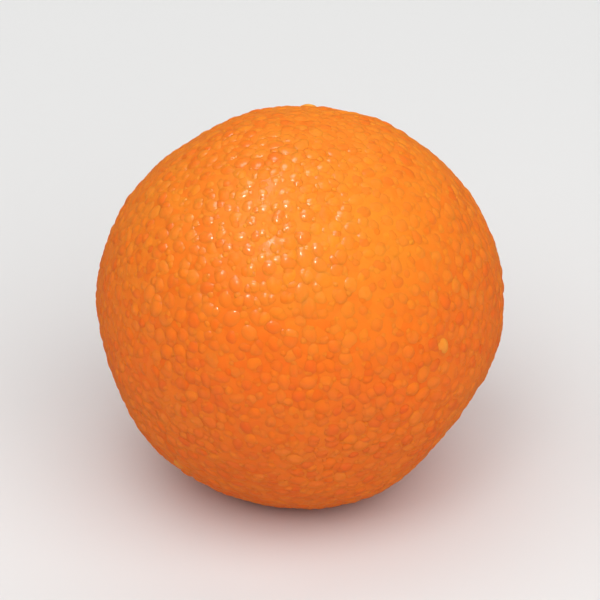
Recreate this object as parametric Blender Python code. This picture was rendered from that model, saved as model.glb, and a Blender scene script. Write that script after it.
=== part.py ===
"""Boondi ladoo: a ball of fine gram-flour boondi bound with sugar syrup and rolled by hand.

The ladoo is one solid. It is a round ball that the palms and fingers have pressed: each press
leaves a soft, nearly flat patch, and the surface between them rises and falls a little, because
the boondi pack unevenly. It stands on the small flat that its own weight makes.

Frame: metres, +Z up, origin at the middle of the underside. The front of the ladoo faces -Y.
"""

import math

import bmesh
import bpy
from mathutils import Vector, noise

# Driving dimensions, in metres.
WIDTH = 0.0454  # across X, the widest way, before the presses
DEPTH = 0.0451  # across Y, before the presses
HEIGHT_SHARE = 0.985  # the ball's height as a share of its width: it is slightly squat

# The boondi pack unevenly: broad swells, and small lumps a few boondi wide.
SWELL_LENGTH = 0.0125
SWELL_HEIGHT = 0.00030
LUMP_LENGTH = 0.0036
LUMP_HEIGHT = 0.00016

# The underside rolls down to a flat that the ladoo's own weight makes.
FOOT_DROP = 0.0209  # from the ball's middle down to the flat
FOOT_SAG = 0.0004  # how far below the flat the rolling surface aims
FOOT_ROUNDING = 0.0015
FOOT_REACH = -0.5  # only directions lower than this meet the foot

PRESS_ROUNDING = 0.0024  # how softly a pressed patch runs out into the ball
PRESS_REACH = 0.5  # a press touches only what faces its own way at least this much

# Hand presses: (degrees round from +X towards +Y, degrees up, how deep the patch is in metres).
PRESSES = (
    (134, 50, 0.00022),
    (339, -32, 0.00120),
    (191, -19, 0.00045),
    (259, 47, 0.00030),
    (286, -20, 0.00045),
    (228, 14, 0.00030),
    (70, 10, 0.00060),
    (112, -30, 0.00045),
    (44, -38, 0.00050),
    (160, 12, 0.00030),
)

FACE_CELLS = 28  # rows of cells along each side of the cube that the ball is blown up from
ON_PLANE = 1e-7  # points this near the foot's level count as on it
SHORTEST_EDGE = 5e-5  # the foot's cut leaves no edge shorter than this

ORANGE = (0.93, 0.24, 0.03, 1.0)
ROUGHNESS = 0.42


def clear_scene():
    for obj in list(bpy.data.objects):
        bpy.data.objects.remove(obj, do_unlink=True)


def direction(around_deg, up_deg):
    """The unit vector that points round from +X towards +Y and then up."""
    around = math.radians(around_deg)
    up = math.radians(up_deg)
    return Vector((math.cos(up) * math.cos(around), math.cos(up) * math.sin(around), math.sin(up)))


def soft_min(a, b, rounding):
    """The smaller of two distances, with the corner between them rounded."""
    near = max(rounding - abs(a - b), 0.0) / rounding
    return min(a, b) - near * near * rounding / 4


def ball_radius(way):
    """The squat ball's distance from its middle along a unit vector."""
    half_width = WIDTH / 2
    half_depth = DEPTH / 2
    half_height = WIDTH * HEIGHT_SHARE / 2
    spread = (way.x / half_width) ** 2 + (way.y / half_depth) ** 2 + (way.z / half_height) ** 2
    return 1 / math.sqrt(spread)


def press_planes():
    """Each press as the way it faces and its flat's distance from the ball's middle.

    The rounding lowers the patch too, so the flat lies further out than the ball less the depth.
    """
    planes = []
    for around_deg, up_deg, deep in PRESSES:
        facing = direction(around_deg, up_deg)
        reach = ball_radius(facing) + PRESS_ROUNDING - 2 * math.sqrt(PRESS_ROUNDING * deep)
        planes.append((facing, reach))
    return planes


def pressed_radius(way, radius, planes):
    """The radius once every hand press has flattened its patch."""
    for facing, reach in planes:
        lean = way.dot(facing)
        if lean > PRESS_REACH:
            radius = soft_min(radius, reach / lean, PRESS_ROUNDING)
    return radius


def unevenness(way):
    """How far the packed boondi stand above or below the ball."""
    place = way * (WIDTH / 2)
    swell = noise.noise(place / SWELL_LENGTH) * SWELL_HEIGHT
    lump = noise.noise(place / LUMP_LENGTH) * LUMP_HEIGHT
    return swell + lump


def surface_radius(way, planes):
    """The finished ladoo's distance from its middle along a unit vector."""
    radius = pressed_radius(way, ball_radius(way), planes) + unevenness(way)
    if way.z < FOOT_REACH:
        radius = soft_min(radius, (FOOT_DROP + FOOT_SAG) / -way.z, FOOT_ROUNDING)
    return radius


def blown_cube():
    """A cube of even cells blown up to a unit ball, its cells kept near one size."""
    mesh = bmesh.new()
    bmesh.ops.create_cube(mesh, size=2.0)
    bmesh.ops.subdivide_edges(mesh, edges=mesh.edges[:], cuts=FACE_CELLS - 1, use_grid_fill=True)
    for vert in mesh.verts:
        evened = [math.tan(side * math.pi / 4) for side in vert.co]
        vert.co = Vector(evened).normalized()
    return mesh


def cut_flat_foot(mesh):
    """Slices the underside off level, which leaves one flat face to stand on."""
    geometry = mesh.verts[:] + mesh.edges[:] + mesh.faces[:]
    cut = bmesh.ops.bisect_plane(
        mesh,
        geom=geometry,
        dist=ON_PLANE,
        plane_co=(0, 0, -FOOT_DROP),
        plane_no=(0, 0, -1),
        clear_outer=True,
    )
    rim = [item for item in cut["geom_cut"] if isinstance(item, bmesh.types.BMEdge)]
    bmesh.ops.contextual_create(mesh, geom=rim)
    bmesh.ops.dissolve_degenerate(mesh, dist=SHORTEST_EDGE, edges=mesh.edges[:])


def centre_on_foot(mesh):
    """Puts the middle of the box at x = y = 0 and the flat at z = 0."""
    across = [vert.co.x for vert in mesh.verts]
    along = [vert.co.y for vert in mesh.verts]
    lowest = min(vert.co.z for vert in mesh.verts)
    middle = Vector(((min(across) + max(across)) / 2, (min(along) + max(along)) / 2, lowest))
    for vert in mesh.verts:
        vert.co -= middle


def orange_boondi():
    material = bpy.data.materials.new("orange_boondi")
    material.use_nodes = True
    shader = material.node_tree.nodes["Principled BSDF"]
    shader.inputs["Base Color"].default_value = ORANGE
    shader.inputs["Roughness"].default_value = ROUGHNESS
    shader.inputs["Metallic"].default_value = 0.0
    return material


def make_ladoo():
    mesh = blown_cube()
    planes = press_planes()
    for vert in mesh.verts:
        vert.co *= surface_radius(vert.co, planes)
    cut_flat_foot(mesh)
    centre_on_foot(mesh)
    bmesh.ops.recalc_face_normals(mesh, faces=mesh.faces[:])
    data = bpy.data.meshes.new("ladoo")
    mesh.to_mesh(data)
    mesh.free()
    data.shade_smooth()
    data.materials.append(orange_boondi())
    ladoo = bpy.data.objects.new("ladoo", data)
    bpy.context.scene.collection.objects.link(ladoo)
    return ladoo


def main():
    clear_scene()
    make_ladoo()


main()
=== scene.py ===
"""Boondi ladoo: the pressed boondi skin, the boondi that stand proud of it, and the studio.

The ball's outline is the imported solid's. A tree of geometry nodes wraps a fine skin round that
solid and raises the pressed boondi on it, and a second tree seats loose boondi in the skin, one
piece for each kind. All lengths are in metres, and all angles are in degrees but where a comment
says otherwise.
"""

import math

import bmesh
import bpy
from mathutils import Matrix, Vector


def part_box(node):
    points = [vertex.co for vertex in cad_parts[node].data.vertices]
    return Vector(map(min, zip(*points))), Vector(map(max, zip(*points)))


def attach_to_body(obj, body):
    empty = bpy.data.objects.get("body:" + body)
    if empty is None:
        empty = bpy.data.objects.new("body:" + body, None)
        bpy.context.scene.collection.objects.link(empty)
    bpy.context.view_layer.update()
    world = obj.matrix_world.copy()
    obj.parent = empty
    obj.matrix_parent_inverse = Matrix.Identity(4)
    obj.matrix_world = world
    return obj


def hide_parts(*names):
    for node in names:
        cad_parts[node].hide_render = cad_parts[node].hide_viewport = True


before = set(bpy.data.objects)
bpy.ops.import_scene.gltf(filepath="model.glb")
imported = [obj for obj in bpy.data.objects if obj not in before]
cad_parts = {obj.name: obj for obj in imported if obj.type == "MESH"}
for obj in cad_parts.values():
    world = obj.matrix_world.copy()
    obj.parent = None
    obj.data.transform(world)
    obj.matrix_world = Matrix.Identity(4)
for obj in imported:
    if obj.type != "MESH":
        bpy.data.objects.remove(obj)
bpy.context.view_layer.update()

NODE = "ladoo"
BODY = "root"

# The ball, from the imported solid.
LOW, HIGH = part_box(NODE)
MIDDLE = (LOW + HIGH) / 2
WIDTH = HIGH.x - LOW.x

# The skin: a cube of even cells blown up onto the solid.
SKIN_CELLS = 128  # along each side of the cube
SKIN_EVENING = 6  # rounds of averaging, which take out the solid's facets
JOIN_WITHIN = 1e-6  # corners of the solid's triangles this near each other are one
LONG_RAY = 1.0  # further than any part of the solid is from its middle

# The boondi that are pressed into the skin.
BOONDI_SIZE = 0.00150  # across one of them
BOONDI_RISE = 0.00008  # from a crease to the top of a boondi
BOONDI_MELD = 0.18  # how far neighbouring boondi run into each other
BOONDI_SCATTER = 0.85  # 0 sets them in rows, and 1 leaves them to chance
DOME_REACH = 0.82  # a boondi's dome ends this many sizes from its middle
PATCH_SIZE = 0.0085  # across a patch that was pressed harder or less hard
PATCH_EDGE = (0.38, 0.62)  # the noise at which a patch is smeared, and at which it is not
LEAST_RISE = 0.6  # share of the rise that is left where a palm has smeared the skin

# The loose boondi: how far apart they sit, how wide they are, and how far they stand proud.
KINDS = {
    "large_boondi": {
        "Spacing": 0.00165,
        "Density": 3_000_000.0,
        "Smallest": 0.0019,
        "Largest": 0.0025,
        "Flatness": 0.46,
        "Least proud": 0.00010,
        "Most proud": 0.00018,
        "Sides": 12,
        "Rows": 6,
        "Seed": 11,
    },
    "middling_boondi": {
        "Spacing": 0.00150,
        "Density": 3_000_000.0,
        "Smallest": 0.0013,
        "Largest": 0.0018,
        "Flatness": 0.45,
        "Least proud": 0.00006,
        "Most proud": 0.00014,
        "Sides": 12,
        "Rows": 5,
        "Seed": 47,
    },
    "fine_boondi": {
        "Spacing": 0.00150,
        "Density": 4_000_000.0,
        "Smallest": 0.0007,
        "Largest": 0.0011,
        "Flatness": 0.40,
        "Least proud": 0.00004,
        "Most proud": 0.00009,
        "Sides": 8,
        "Rows": 4,
        "Seed": 83,
    },
    "stray_boondi": {
        "Spacing": 0.0340,
        "Density": 20_000.0,
        "Smallest": 0.0016,
        "Largest": 0.0020,
        "Flatness": 0.50,
        "Least proud": 0.00020,
        "Most proud": 0.00028,
        "Sides": 14,
        "Rows": 7,
        "Seed": 2,
    },
}
CLEAR_OF_FLOOR = 0.0012  # the skin below this height has no loose boondi
ROW_DRAW = 1.4  # 1 leaves a boondi's rows even, and more draws them up to its top
LONGEST = 1.35  # the longest boondi is this many times as long as it is wide
TILT = 0.03  # radians by which a boondi leans from the skin each way, at most
KNOB_SIZE = 0.0007  # across the knobs on a boondi
KNOB_SHARE = 0.06  # of the smallest boondi's width, from the deepest dent to the highest knob

# Names under which the meshes keep values.
OUTWARD = "outward"  # the way that the skin faces
TONE = "tone"  # each loose boondi's random number for its colour
SHINE = "shine"  # and its random number for its syrup

# Colours, as linear red, green and blue.
FLAME = (0.930, 0.200, 0.014, 1.0)
AMBER = (0.950, 0.250, 0.018, 1.0)
GOLD = (0.960, 0.350, 0.030, 1.0)
HONEY = (0.960, 0.420, 0.050, 1.0)
EMBER = (0.900, 0.160, 0.010, 1.0)
# Painted shade: the deep red that the creases of the pressed skin are darkened towards.
CREASE_SHADE = (0.760, 0.110, 0.006, 1.0)
LOW_SHADE_TINT = (0.99, 0.79, 0.78, 1.0)  # painted shade: what is left of each colour towards the bottom
FLOOR_WHITE = (0.71, 0.71, 0.705, 1.0)

# Each kind's plain colour, its deeper colour, and the share of its boondi that are wet.
LOOKS = {
    "large_boondi": (AMBER, EMBER, 0.70),
    "middling_boondi": (AMBER, EMBER, 0.50),
    "fine_boondi": (AMBER, FLAME, 0.40),
    "stray_boondi": (HONEY, GOLD, 0.90),
}

# The pressed boondi's colours. Each boondi has three random numbers from 0 to 1, its lots. An edge
# is where a change begins and where it is whole, and a share is the most of the new colour.
CLOUD_SIZE = 0.011  # across a cloud of paler skin
CLOUD_EDGE = (0.34, 0.66)
CLOUD_SHARE = 0.70
REDDER_EDGE = (0.55, 1.0)  # of a boondi's first lot
REDDER_SHARE = 0.55
PALER_EDGE = (0.70, 1.0)  # of its second lot
PALER_SHARE = 0.60
DEEP_EDGE = (0.10, 0.55)  # the heights at which a crease's painted shade, and its extra mattness, begin to fade and are gone
# The most of the painted crease shade.
CREASE_SHADE_SHARE = 0.25

# The loose boondi's mottle.
MOTTLE_SIZE = 0.0035
MOTTLE_EDGE = (0.3, 0.7)
MOTTLE_SHARE = 0.35

# Painted shade: the boondi are darker and redder towards the bottom of the ball.
SHADE_WHOLE_BELOW = 0.022  # up to this height all of the painted shade is there
SHADE_GONE_ABOVE = 0.040  # and from this height on none of it

# A film of syrup lies on the skin in pools, and on the loose boondi that are wet.
FILM_SHARE = 0.45  # of a full film, where the skin is wettest
POOL_SIZE = 0.0032
POOL_EDGE = (0.42, 0.60)
POOL_LOT = (0.35, 0.75)  # of a pressed boondi's third lot
WET_EDGE = 0.2  # from the random number of a dry loose boondi up to that of a wet one
GLOSS_FADE = (0.25, 0.62)  # how far a face turns away as its gloss begins and ends to fade

# Painted light: a paler, more golden side on the upper right, where the key light falls.
LIT_SIDE_WAY = (15, 52)  # round from the front and up to its middle
LIT_SIDE_SHARE = 0.25  # of gold in its colour
LIT_SIDE_EDGE = (0.009, 0.023)  # it begins and ends to fade this far from its middle
LIT_SIDE_FRAY = 0.008  # how far its edge wanders
LIT_SIDE_FRAY_SIZE = 0.006  # across one bay of its edge

# The finest relief: the pressed boondi's domes, the crumbs on them, and grit on every boondi.
CRUMB_SIZE = BOONDI_SIZE * 0.42
CRUMB_MELD = 0.10
SKIN_GRIT_SIZE = 0.0009
LOOSE_GRIT_SIZE = 0.0007
DOME_RELIEF = 0.55
CRUMB_RELIEF = 0.28
GRIT_RELIEF = 0.20
SKIN_BUMP = {"Strength": 0.6, "Distance": 0.00010}
LOOSE_BUMP = {"Strength": 0.4, "Distance": 0.00005}

# How matt the boondi are under the syrup.
SKIN_MATT = 0.40
LOOSE_MATT = 0.36
GRIT_MATT = 0.22  # more where there is grit
DEEP_MATT = 0.12  # and more again in the creases

# What every boondi's shader has alike: light soaks in a little way, and a film of syrup covers it.
GLAZE = {
    "Subsurface Weight": 0.5,
    "Subsurface Radius": (1.0, 0.80, 0.50),
    "Subsurface Scale": 0.0006,
    "Coat Roughness": 0.15,
    "Coat IOR": 1.45,
    "Specular IOR Level": 0.18,
}

# The camera stands in front, looking down on the ball.
CAMERA_RISE = 31.0
CAMERA_REACH = 0.62
CAMERA_NEAREST = 0.01  # nothing nearer to it than this is seen
SENSOR_MM = 36.0
BALL_SHARE = 0.68  # of the view's width

# The studio.
FLOOR_REACH = 3.0  # from its middle to its edge
FLOOR_MATT = 0.85
SOFTBOX_REACH = 1.20
LAMP_REACH = 0.70
ROOM_GLOW = 0.12
WHITE = (1.0, 1.0, 1.0, 1.0)


class Field:
    """One output of a node, which can be reckoned with like a number."""

    def __init__(self, graph, socket):
        self.graph = graph
        self.socket = socket

    def out(self, name):
        """Another output of the same node."""
        return Field(self.graph, self.socket.node.outputs[name])

    def __add__(self, other):
        return self.graph.maths("ADD", self, other)

    __radd__ = __add__

    def __sub__(self, other):
        return self.graph.maths("SUBTRACT", self, other)

    def __rsub__(self, other):
        return self.graph.maths("SUBTRACT", other, self)

    def __mul__(self, other):
        return self.graph.maths("MULTIPLY", self, other)

    __rmul__ = __mul__

    def __truediv__(self, other):
        return self.graph.maths("DIVIDE", self, other)

    def __rtruediv__(self, other):
        return self.graph.maths("DIVIDE", other, self)

    def __pow__(self, other):
        return self.graph.maths("POWER", self, other)


class Graph:
    """Adds nodes to one tree, for a material or for a shape."""

    def __init__(self, tree):
        self.tree = tree

    def node(self, kind, settings=None, inputs=None, output=0):
        """A node of this kind: its settings are made first, and then its sockets are fed."""
        made = self.tree.nodes.new(kind)
        for name, value in (settings or {}).items():
            setattr(made, name, value)
        for key, value in (inputs or {}).items():
            self.feed(made.inputs[key], value)
        return Field(self, made.outputs[output]) if len(made.outputs) else made

    def feed(self, socket, value):
        """Gives a socket a value, or links it to another node's output."""
        if isinstance(value, Field):
            self.tree.links.new(value.socket, socket)
        else:
            socket.default_value = value

    def maths(self, operation, *values):
        """A number worked out from other numbers."""
        return self.node("ShaderNodeMath", {"operation": operation}, dict(enumerate(values)))

    def vector(self, operation, *values, output=0):
        """A vector worked out from other vectors, or, as output 1, a number."""
        settings = {"operation": operation}
        return self.node("ShaderNodeVectorMath", settings, dict(enumerate(values)), output)

    def scaled(self, way, length):
        """A vector made longer by a number."""
        return self.node("ShaderNodeVectorMath", {"operation": "SCALE"}, {0: way, "Scale": length})

    def joined(self, *numbers):
        """The vector with these numbers along X, Y and Z."""
        return self.node("ShaderNodeCombineXYZ", {}, dict(enumerate(numbers)))

    def split(self, vector):
        """A vector's X, with its Y and Z as further outputs."""
        return self.node("ShaderNodeSeparateXYZ", {}, {0: vector})

    def kept(self, name):
        """The vector that a mesh keeps under this name."""
        settings = {"data_type": "FLOAT_VECTOR"}
        return self.node("GeometryNodeInputNamedAttribute", settings, {"Name": name})

    def moved(self, geometry, offset):
        """The same points, each moved by its own offset."""
        inputs = {"Geometry": geometry, "Offset": offset}
        return self.node("GeometryNodeSetPosition", {}, inputs)

    def placed(self, geometry, place):
        """The same points, each put at its own place."""
        inputs = {"Geometry": geometry, "Position": place}
        return self.node("GeometryNodeSetPosition", {}, inputs)

    def rise(self, value, low, high):
        """0 up to low and 1 from high on, with a smooth step between them."""
        inputs = {"Value": value, "From Min": low, "From Max": high}
        return self.node("ShaderNodeMapRange", {"interpolation_type": "SMOOTHSTEP"}, inputs)

    def noise(self, where, size, detail=2.0):
        """Cloudy noise from 0 to 1, whose clouds are this many metres across."""
        inputs = {"Vector": where, "Scale": 1 / size, "Detail": detail, "Roughness": 0.5}
        return self.node("ShaderNodeTexNoise", {}, inputs)

    def grains(self, where, size, meld=None):
        """The distance from the nearest boondi's middle, with its random colour as an output."""
        inputs = {"Vector": where, "Scale": 1 / size, "Randomness": BOONDI_SCATTER}
        settings = {"feature": "F1"}
        if meld is not None:
            settings = {"feature": "SMOOTH_F1"}
            inputs["Smoothness"] = meld
        return self.node("ShaderNodeTexVoronoi", settings, inputs)

    def shade(self, share, first, second, blend="MIX"):
        """A colour between two others, or the first one dyed with the second."""
        settings = {"data_type": "RGBA", "blend_type": blend}
        return self.node("ShaderNodeMix", settings, {0: share, 6: first, 7: second}, 2)


def new_shape_tree(name, inputs):
    """A tree with one geometry output, and a named input for each size that it takes."""
    tree = bpy.data.node_groups.new(name, "GeometryNodeTree")
    tree.interface.new_socket("Geometry", in_out="OUTPUT", socket_type="NodeSocketGeometry")
    for label, kind in inputs.items():
        tree.interface.new_socket(label, in_out="INPUT", socket_type="NodeSocket" + kind)
    graph = Graph(tree)
    return graph, graph.node("NodeGroupInput")


def end_tree(graph, geometry, material):
    """Every tree ends alike: real faces, shaded smooth, of one material."""
    whole = graph.node("GeometryNodeRealizeInstances", {}, {0: geometry})
    smooth = graph.node("GeometryNodeSetShadeSmooth", {}, {0: whole})
    clad = graph.node("GeometryNodeSetMaterial", {}, {"Geometry": smooth, "Material": material})
    graph.node("NodeGroupOutput", {}, {"Geometry": clad})


def grow(name, tree, values):
    """The plain mesh object that a tree makes from these values of its named inputs."""
    made = bpy.data.objects.new(name, bpy.data.meshes.new(name))
    bpy.context.scene.collection.objects.link(made)
    modifier = made.modifiers.new(name, "NODES")
    modifier.node_group = tree
    for label, value in values.items():
        modifier[tree.interface.items_tree[label].identifier] = value
    depsgraph = bpy.context.evaluated_depsgraph_get()
    evaluated = made.evaluated_get(depsgraph)
    mesh = bpy.data.meshes.new_from_object(
        evaluated, preserve_all_data_layers=True, depsgraph=depsgraph
    )
    made.modifiers.remove(modifier)
    made.data = mesh
    mesh.name = name
    return made


def solid_copy():
    """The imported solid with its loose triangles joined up, to wrap the skin round."""
    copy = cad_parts[NODE].copy()
    copy.data = copy.data.copy()
    copy.parent = None
    mesh = bmesh.new()
    mesh.from_mesh(copy.data)
    bmesh.ops.remove_doubles(mesh, verts=mesh.verts[:], dist=JOIN_WITHIN)
    mesh.to_mesh(copy.data)
    mesh.free()
    copy.data.materials.clear()
    bpy.context.scene.collection.objects.link(copy)
    return copy


def grain_height(graph, where, size, meld):
    """How high the pressed boondi stand, from 0 in a crease to 1 on the highest."""
    from_middle = graph.grains(where, size, meld)
    dome = 1 - (from_middle / DOME_REACH) ** 2
    return graph.maths("MAXIMUM", dome, 0.0)


def pressed_share(graph, where):
    """How much of their height the boondi keep: less where a palm has smeared the skin."""
    patches = graph.rise(graph.noise(where, PATCH_SIZE), *PATCH_EDGE)
    return LEAST_RISE + (1 - LEAST_RISE) * patches


def blown_cube(graph, given, place):
    """A cube of even cells whose points lie where rays from the middle leave the solid."""
    points = given.out("Cells") + 1
    counts = {"Vertices X": points, "Vertices Y": points, "Vertices Z": points}
    cube = graph.node("GeometryNodeMeshCube", {}, {"Size": (2.0, 2.0, 2.0), **counts})

    # The tangents keep the cells near one size once the cube is a ball.
    sides = graph.split(place)
    evened = [graph.maths("TANGENT", sides.out(side) * (math.pi / 4)) for side in "XYZ"]
    way = graph.vector("NORMALIZE", graph.joined(*evened))
    solid = graph.node("GeometryNodeObjectInfo", {}, {"Object": given.out("Solid")})
    hit = graph.node(
        "GeometryNodeRaycast",
        {},
        {
            "Target Geometry": solid.out("Geometry"),
            "Source Position": given.out("Middle"),
            "Ray Direction": way,
            "Ray Length": LONG_RAY,
        },
    )
    reach = graph.node(
        "GeometryNodeBlurAttribute",
        {"data_type": "FLOAT"},
        {"Value": hit.out("Hit Distance"), "Iterations": given.out("Evening")},
    )
    seat = graph.vector("ADD", given.out("Middle"), graph.scaled(way, reach))
    return graph.placed(cube, seat)


def skin_tree(material):
    """Wraps a fine skin of even cells round the solid and raises the pressed boondi on it."""
    graph, given = new_shape_tree(
        "pressed_skin",
        {
            "Solid": "Object",
            "Middle": "Vector",
            "Cells": "Int",
            "Evening": "Int",
            "Boondi size": "Float",
            "Boondi rise": "Float",
        },
    )
    place = graph.node("GeometryNodeInputPosition")
    ball = blown_cube(graph, given, place)
    facing = graph.node(
        "GeometryNodeBlurAttribute",
        {"data_type": "FLOAT_VECTOR"},
        {"Value": graph.node("GeometryNodeInputNormal"), "Iterations": given.out("Evening")},
    )
    noted = graph.node(
        "GeometryNodeStoreNamedAttribute",
        {"data_type": "FLOAT_VECTOR", "domain": "POINT"},
        {"Geometry": ball, "Name": OUTWARD, "Value": graph.vector("NORMALIZE", facing)},
    )

    # Half of the rise goes below the solid's surface, so that the ball keeps its size.
    domes = grain_height(graph, place, given.out("Boondi size"), BOONDI_MELD)
    height = domes * pressed_share(graph, place)
    lift = (height - 0.5) * given.out("Boondi rise")
    raised = graph.moved(noted, graph.scaled(graph.kept(OUTWARD), lift))

    # The foot stays on the floor.
    sides = graph.split(place)
    level = graph.maths("MAXIMUM", sides.out("Z"), 0.0)
    stood = graph.placed(raised, graph.joined(sides, sides.out("Y"), level))
    end_tree(graph, stood, material)
    return graph.tree


def bead_shape(graph, given):
    """One boondi, 1 across: a ball whose rows are drawn up to its top, where it shows."""
    rows = {"Segments": given.out("Sides"), "Rings": given.out("Rows"), "Radius": 1.0}
    ball = graph.node("GeometryNodeMeshUVSphere", {}, rows)
    sides = graph.split(graph.node("GeometryNodeInputPosition"))
    down = graph.maths("ARCCOSINE", sides.out("Z")) / math.pi
    drawn = (down ** ROW_DRAW) * math.pi
    around = graph.vector("NORMALIZE", graph.joined(sides, sides.out("Y")))
    flat = graph.scaled(around, graph.maths("SINE", drawn) * 0.5)
    upright = graph.joined(0.0, 0.0, graph.maths("COSINE", drawn) * 0.5)
    return graph.placed(ball, graph.vector("ADD", flat, upright))


def seated_tree(material):
    """Seats loose boondi in the skin, each turned to lie flat and sunk nearly to its top."""
    graph, given = new_shape_tree(
        "seated_boondi",
        {
            "Skin": "Object",
            "Spacing": "Float",
            "Density": "Float",
            "Smallest": "Float",
            "Largest": "Float",
            "Flatness": "Float",
            "Least proud": "Float",
            "Most proud": "Float",
            "Sides": "Int",
            "Rows": "Int",
            "Seed": "Int",
            "Clear of floor": "Float",
        },
    )
    skin = graph.node("GeometryNodeObjectInfo", {}, {"Object": given.out("Skin")})
    place = graph.node("GeometryNodeInputPosition")
    height = graph.split(place).out("Z")
    spots = graph.node(
        "GeometryNodeDistributePointsOnFaces",
        {"distribute_method": "POISSON"},
        {
            "Mesh": skin.out("Geometry"),
            "Selection": graph.maths("GREATER_THAN", height, given.out("Clear of floor")),
            "Distance Min": given.out("Spacing"),
            "Density Max": given.out("Density"),
            "Density Factor": 1.0,
            "Seed": given.out("Seed"),
        },
    )

    def chance(low, high, offset):
        """A random number for each boondi."""
        inputs = {2: low, 3: high, "Seed": given.out("Seed") + offset}
        return graph.node("FunctionNodeRandomValue", {"data_type": "FLOAT"}, inputs, 1)

    def noted(geometry, name, offset):
        """The boondi, each keeping a random number from 0 to 1 under this name."""
        settings = {"data_type": "FLOAT", "domain": "INSTANCE"}
        inputs = {"Geometry": geometry, "Name": name, "Value": chance(0.0, 1.0, offset)}
        return graph.node("GeometryNodeStoreNamedAttribute", settings, inputs)

    size = chance(given.out("Smallest"), given.out("Largest"), 1)
    length = size * chance(1.0, LONGEST, 2)
    depth = size * given.out("Flatness")
    proud = chance(given.out("Least proud"), given.out("Most proud"), 3)
    top = proud * pressed_share(graph, place)
    outward = graph.kept(OUTWARD)
    seats = graph.moved(spots, graph.scaled(outward, top - depth / 2))
    lying = graph.node("FunctionNodeAlignRotationToVector", {"axis": "Z"}, {"Vector": outward})
    beads = graph.node(
        "GeometryNodeInstanceOnPoints",
        {},
        {
            "Points": seats,
            "Instance": bead_shape(graph, given),
            "Rotation": lying,
            "Scale": graph.joined(size, length, depth),
        },
    )
    turn = graph.joined(chance(-TILT, TILT, 4), chance(-TILT, TILT, 5), chance(0.0, 2 * math.pi, 6))
    inputs = {"Instances": beads, "Rotation": turn}
    turned = graph.node("GeometryNodeRotateInstances", {}, inputs)
    marked = noted(noted(turned, TONE, 7), SHINE, 8)
    whole = graph.node("GeometryNodeRealizeInstances", {}, {0: marked})

    # The noise lies evenly about 0.5, so the knobs go in as far as they stand out.
    knobs = graph.noise(place, KNOB_SIZE, detail=0.0).out("Color")
    push = graph.vector("SUBTRACT", knobs, (0.5, 0.5, 0.5))
    knobbly = graph.moved(whole, graph.scaled(push, given.out("Smallest") * KNOB_SHARE))
    end_tree(graph, knobbly, material)
    return graph.tree


def towards(around_deg, up_deg):
    """The unit vector round from the front, towards the right, and then up."""
    around = math.radians(around_deg)
    up = math.radians(up_deg)
    return Vector((math.cos(up) * math.sin(around), -math.cos(up) * math.cos(around), math.sin(up)))


def new_material(name):
    """A material, the graph that adds nodes to it, and its shader."""
    material = bpy.data.materials.new(name)
    material.use_nodes = True
    return material, Graph(material.node_tree), material.node_tree.nodes["Principled BSDF"]


def glaze(shader):
    """Gives a shader what every boondi has alike."""
    for label, value in GLAZE.items():
        shader.inputs[label].default_value = value


def glossy_share(graph):
    """Thins the gloss towards the ball's rim, where the real film is too patchy to mirror."""
    facing = graph.node("ShaderNodeLayerWeight", {}, {"Blend": 0.5}).out("Facing")
    return 1 - graph.rise(facing, *GLOSS_FADE)


def painted_shade_and_light(graph, where, colour):
    """Painted shade and light: the boondi are darker and redder towards the bottom, and paler and
    more golden on the side the light falls on.
    """
    height = graph.split(where).out("Z")
    # Painted shade: darker and redder towards the bottom.
    low_shade = 1 - graph.rise(height, SHADE_WHOLE_BELOW, SHADE_GONE_ABOVE)
    redder = graph.shade(low_shade, colour, LOW_SHADE_TINT, "MULTIPLY")
    # Painted light: paler and more golden on the side the key light falls on.
    lit_side = MIDDLE + towards(*LIT_SIDE_WAY) * WIDTH / 2
    away = graph.vector("DISTANCE", where, lit_side[:], output=1)
    ragged = away + LIT_SIDE_FRAY * graph.noise(where, LIT_SIDE_FRAY_SIZE)
    lit = 1 - graph.rise(ragged, *LIT_SIDE_EDGE)
    return graph.shade(lit * LIT_SIDE_SHARE, redder, GOLD)


def skin_material():
    """Pressed boondi: each its own orange, with painted shade darkening and reddening the creases,
    and syrup here and there.
    """
    material, graph, shader = new_material("pressed_boondi")
    glaze(shader)
    where = graph.node("ShaderNodeTexCoord").out("Object")
    lots = graph.grains(where, BOONDI_SIZE).out("Color")
    lot = graph.node("ShaderNodeSeparateColor", {}, {0: lots})
    height = grain_height(graph, where, BOONDI_SIZE, BOONDI_MELD)
    keep = pressed_share(graph, where)
    deep = (1 - graph.rise(height, *DEEP_EDGE)) * keep
    grit = graph.noise(where, SKIN_GRIT_SIZE, detail=4.0)

    clouds = graph.rise(graph.noise(where, CLOUD_SIZE, detail=3.0), *CLOUD_EDGE)
    base = graph.shade(clouds * CLOUD_SHARE, FLAME, AMBER)
    redder = graph.shade(graph.rise(lot, *REDDER_EDGE) * REDDER_SHARE, base, EMBER)
    paler = graph.rise(lot.out("Green"), *PALER_EDGE) * PALER_SHARE
    toned = graph.shade(paler, redder, AMBER)
    # Painted shade: the creases are darkened towards the crease shade colour.
    colour = graph.shade(deep * CREASE_SHADE_SHARE, toned, CREASE_SHADE)
    graph.feed(shader.inputs["Base Color"], painted_shade_and_light(graph, where, colour))
    graph.feed(shader.inputs["Roughness"], SKIN_MATT + GRIT_MATT * grit + DEEP_MATT * deep)

    pools = graph.rise(graph.noise(where, POOL_SIZE), *POOL_EDGE)
    wet = pools * graph.rise(lot.out("Blue"), *POOL_LOT)
    graph.feed(shader.inputs["Coat Weight"], wet * glossy_share(graph) * FILM_SHARE)

    crumbs = grain_height(graph, where, CRUMB_SIZE, CRUMB_MELD)
    relief = height * keep * DOME_RELIEF + crumbs * CRUMB_RELIEF + grit * GRIT_RELIEF
    bump = graph.node("ShaderNodeBump", {}, {"Height": relief, **SKIN_BUMP})
    graph.feed(shader.inputs["Normal"], bump)
    return material


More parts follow.
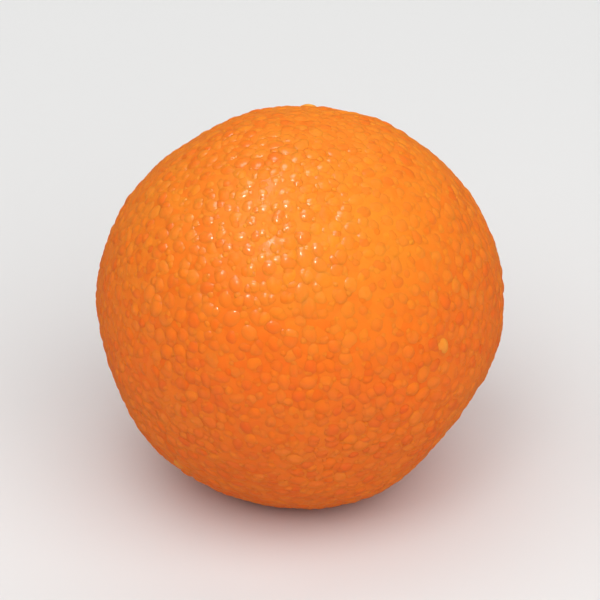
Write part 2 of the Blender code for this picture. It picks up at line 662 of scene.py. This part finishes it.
def loose_material(name, plain, deep, wetness):
    """Loose boondi of one kind: each has its own tone, and the wet ones shine."""
    material, graph, shader = new_material(name)
    glaze(shader)
    where = graph.node("ShaderNodeTexCoord").out("Object")
    tone = graph.node("ShaderNodeAttribute", {"attribute_name": TONE}).out("Fac")
    mottle = graph.rise(graph.noise(where, MOTTLE_SIZE), *MOTTLE_EDGE)
    colour = graph.shade(mottle * MOTTLE_SHARE, graph.shade(tone, plain, deep), AMBER)
    graph.feed(shader.inputs["Base Color"], painted_shade_and_light(graph, where, colour))

    shine = graph.node("ShaderNodeAttribute", {"attribute_name": SHINE}).out("Fac")
    dry = 1 - wetness
    film = graph.rise(shine, dry - WET_EDGE, dry)
    graph.feed(shader.inputs["Coat Weight"], film * glossy_share(graph))

    grit = graph.noise(where, LOOSE_GRIT_SIZE, detail=4.0)
    graph.feed(shader.inputs["Roughness"], LOOSE_MATT + GRIT_MATT * grit)
    bump = graph.node("ShaderNodeBump", {}, {"Height": grit, **LOOSE_BUMP})
    graph.feed(shader.inputs["Normal"], bump)
    return material


def attach(piece):
    """Every piece moves with the ladoo's one body."""
    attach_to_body(piece, BODY)


def make_skin():
    """The skin of pressed boondi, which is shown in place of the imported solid."""
    solid = solid_copy()
    sizes = {
        "Solid": solid,
        "Middle": MIDDLE[:],
        "Cells": SKIN_CELLS,
        "Evening": SKIN_EVENING,
        "Boondi size": BOONDI_SIZE,
        "Boondi rise": BOONDI_RISE,
    }
    skin = grow("pressed_skin", skin_tree(skin_material()), sizes)
    bpy.data.objects.remove(solid, do_unlink=True)
    return skin


def make_loose_boondi(skin):
    """One piece for each kind of loose boondi, seated in the skin."""
    pieces = []
    for name, sizes in KINDS.items():
        tree = seated_tree(loose_material(name, *LOOKS[name]))
        values = {"Skin": skin, "Clear of floor": CLEAR_OF_FLOOR, **sizes}
        pieces.append(grow(name, tree, values))
    skin.data.attributes.remove(skin.data.attributes[OUTWARD])
    return pieces


def floor_material():
    """A matt, nearly white board."""
    material, _, shader = new_material("studio_floor")
    shader.inputs["Base Color"].default_value = FLOOR_WHITE
    shader.inputs["Roughness"].default_value = FLOOR_MATT
    return material


def make_floor():
    """A plain pale floor, which the syrup doesn't mirror."""
    mesh = bpy.data.meshes.new("floor")
    plane = bmesh.new()
    bmesh.ops.create_grid(plane, x_segments=1, y_segments=1, size=FLOOR_REACH)
    plane.to_mesh(mesh)
    plane.free()
    mesh.materials.append(floor_material())
    floor = bpy.data.objects.new("floor", mesh)
    floor.visible_glossy = False
    bpy.context.scene.collection.objects.link(floor)


def aim(obj, place):
    """Puts a light or the camera at a place, pointing at the ball's middle."""
    obj.location = place
    obj.rotation_euler = (MIDDLE - place).to_track_quat("-Z", "Y").to_euler()
    bpy.context.scene.collection.objects.link(obj)


def make_light(name, way, reach, width, height, power):
    """A round or oval lamp of so many watts that points at the ball, this way from it."""
    light = bpy.data.lights.new(name, "AREA")
    light.shape = "ELLIPSE"
    light.size = width
    light.size_y = height
    light.energy = power
    lamp = bpy.data.objects.new(name, light)
    aim(lamp, MIDDLE + towards(*way) * reach)
    return lamp


def make_softbox(name, way, width, height, power):
    """A large soft light that lights the boondi but leaves no veil on their syrup."""
    make_light(name, way, SOFTBOX_REACH, width, height, power).visible_glossy = False


def make_glint(name, way, width, power):
    """A small lamp that shows only as glints on the syrup."""
    make_light(name, way, LAMP_REACH, width, width, power).visible_diffuse = False


def make_studio():
    """Soft light from the upper right, with the glints from the upper left.

    Each lamp has its way round from the front towards the right and then up, its size and its watts.
    """
    make_softbox("key_softbox", (28, 52), 1.90, 1.60, 16.8)
    make_softbox("fill_softbox", (-62, 56), 1.50, 1.50, 7.5)
    make_softbox("back_softbox", (170, 42), 1.60, 1.50, 5.0)
    make_glint("glint_lamp", (-46, 64), 0.12, 1.0)
    make_glint("satin_lamp", (-124, 73), 0.34, 1.2)
    world = bpy.data.worlds.new("studio")
    world.use_nodes = True
    glow = world.node_tree.nodes["Background"]
    glow.inputs["Color"].default_value = WHITE
    glow.inputs["Strength"].default_value = ROOM_GLOW
    bpy.context.scene.world = world
    bpy.context.scene.view_settings.view_transform = "Standard"


def make_camera():
    """The lens is as long as it takes for the ball to fill its share of the view."""
    camera = bpy.data.cameras.new("camera")
    camera.sensor_width = SENSOR_MM
    camera.lens = SENSOR_MM * CAMERA_REACH * BALL_SHARE / WIDTH
    camera.clip_start = CAMERA_NEAREST
    viewer = bpy.data.objects.new("camera", camera)
    aim(viewer, MIDDLE + towards(0, CAMERA_RISE) * CAMERA_REACH)
    bpy.context.scene.camera = viewer


make_camera()
ladoo_skin = make_skin()
loose_boondi = make_loose_boondi(ladoo_skin)
for piece in [ladoo_skin, *loose_boondi]:
    attach(piece)
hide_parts(NODE)
make_floor()
make_studio()
